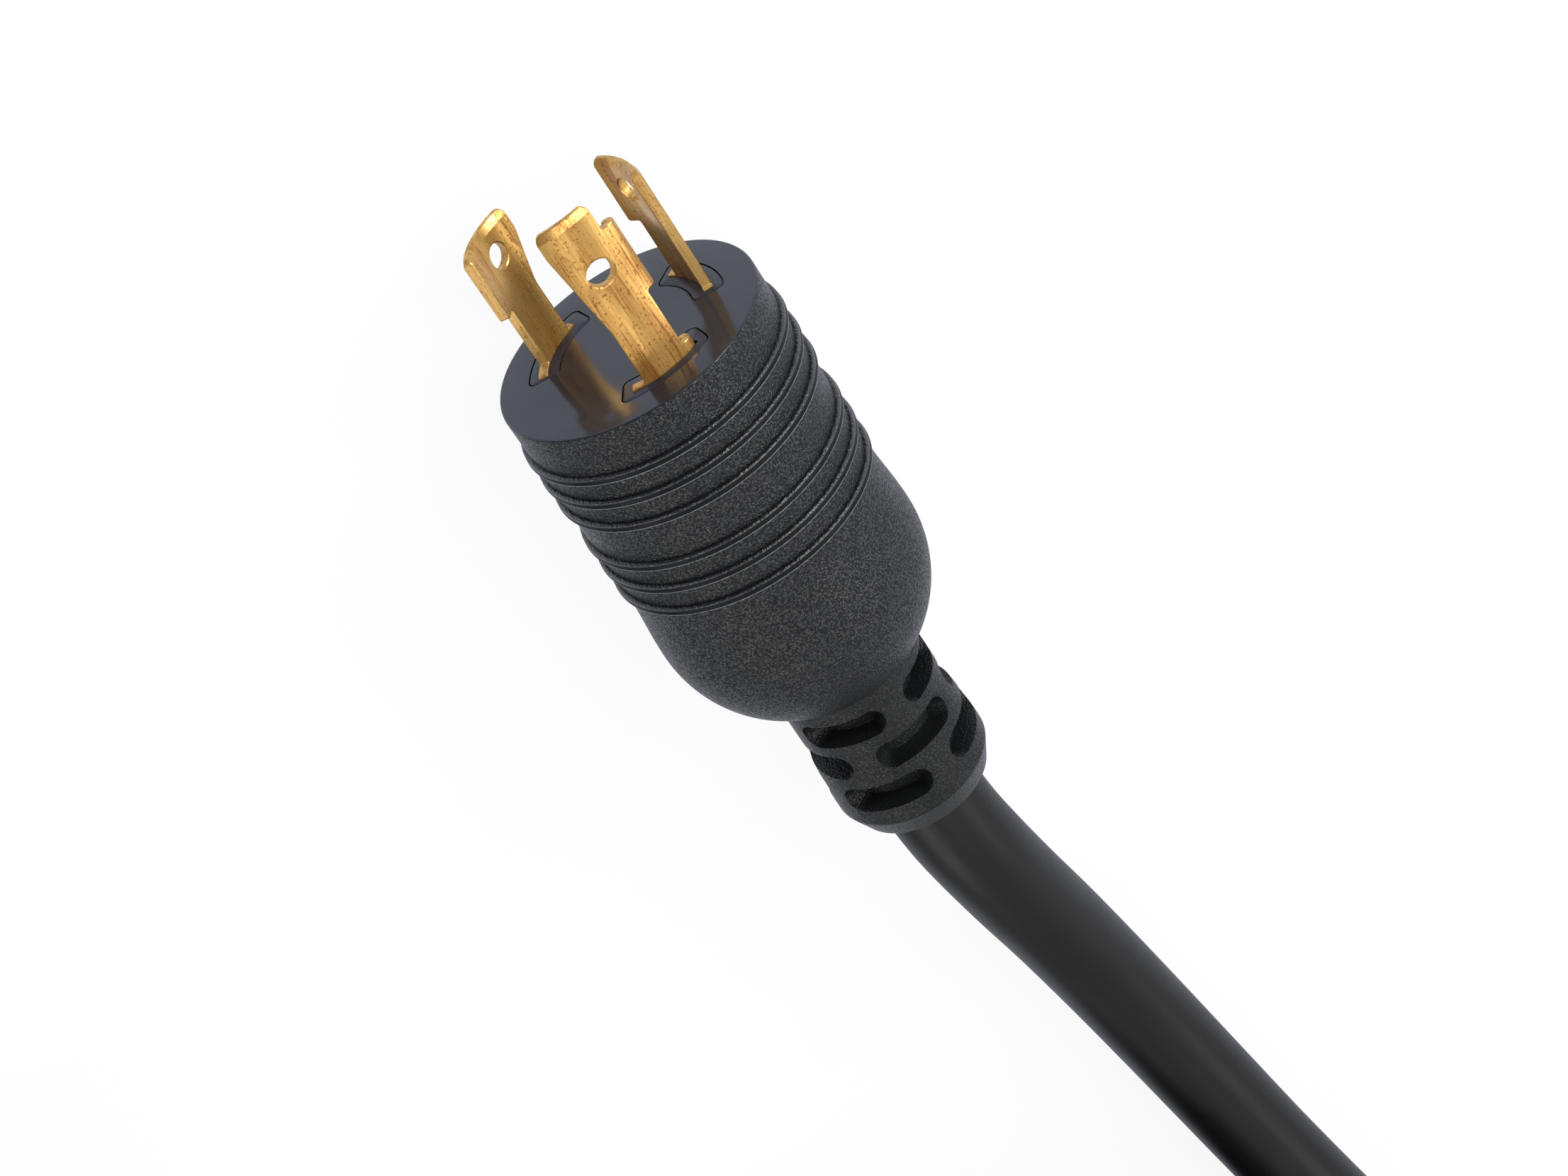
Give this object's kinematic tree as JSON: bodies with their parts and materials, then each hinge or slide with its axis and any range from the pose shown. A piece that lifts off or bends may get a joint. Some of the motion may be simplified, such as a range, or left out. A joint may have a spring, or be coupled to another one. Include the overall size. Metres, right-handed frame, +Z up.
{
  "type": "shore power cord",
  "caption": "Black shore power cord: moulded locking plug with curved brass blades and a slotted strain relief, thick cord tied in a coil, and a locking connector with a threaded ring.",
  "frame": {"origin": "on the surface that the cord lies on, under the middle of the plug's length from the ground blade's tip to the end of its strain relief", "axes": "+X along the plug's axis from the blades to the cord, +Y level and square to it, +Z up"},
  "size_m": [0.443, 0.2535, 0.051],
  "materials": {
    "body_rubber": "grained, matt",
    "boot_rubber": "fine grain, matt",
    "jacket": "smooth, satin",
    "carrier_plastic": "smooth, satin",
    "contact_plastic": "smooth, matt",
    "ring_plastic": "smooth, satin",
    "gasket_rubber": "matt",
    "tie_strap": "woven hook-and-loop",
    "brass": "drawn, slightly tarnished",
    "copper": "bare stranded copper",
    "insulation_black": "smooth",
    "insulation_white": "smooth",
    "insulation_green": "smooth"
  },
  "bodies": {
    "cord": {"plug_body": "body_rubber", "blade_carrier": "carrier_plastic", "plug_core": "carrier_plastic", "strain_relief": "boot_rubber", "plug_jacket": "jacket", "line_blade": "brass", "neutral_blade": "brass", "ground_blade": "brass", "line_wire": "copper", "neutral_wire": "copper", "ground_wire": "copper", "line_insulation": "insulation_black", "neutral_insulation": "insulation_white", "ground_insulation": "insulation_green", "cord_lead": "jacket", "cord_coil": "jacket", "cord_tail": "jacket", "coil_tie_a": "tie_strap", "coil_tie_b": "tie_strap", "connector_body": "body_rubber", "socket_plate": "contact_plastic", "contact_carrier": "contact_plastic", "socket_back": "contact_plastic", "connector_core": "carrier_plastic", "connector_relief": "boot_rubber", "connector_jacket": "jacket", "line_contact": "brass", "neutral_contact": "brass", "ground_contact": "brass", "line_end_wire": "copper", "neutral_end_wire": "copper", "ground_end_wire": "copper", "line_end_insulation": "insulation_black", "neutral_end_insulation": "insulation_white", "ground_end_insulation": "insulation_green", "face_gasket": "gasket_rubber"},
    "ring": {"locking_ring": "ring_plastic"}
  },
  "joints": [
    {"name": "locking_ring_turn", "type": "hinge", "parent": "cord", "child": "ring", "pos_m": [0.04763, -0.195, 0.0255], "axis": [1, 0, 0], "continuous": true}
  ]
}
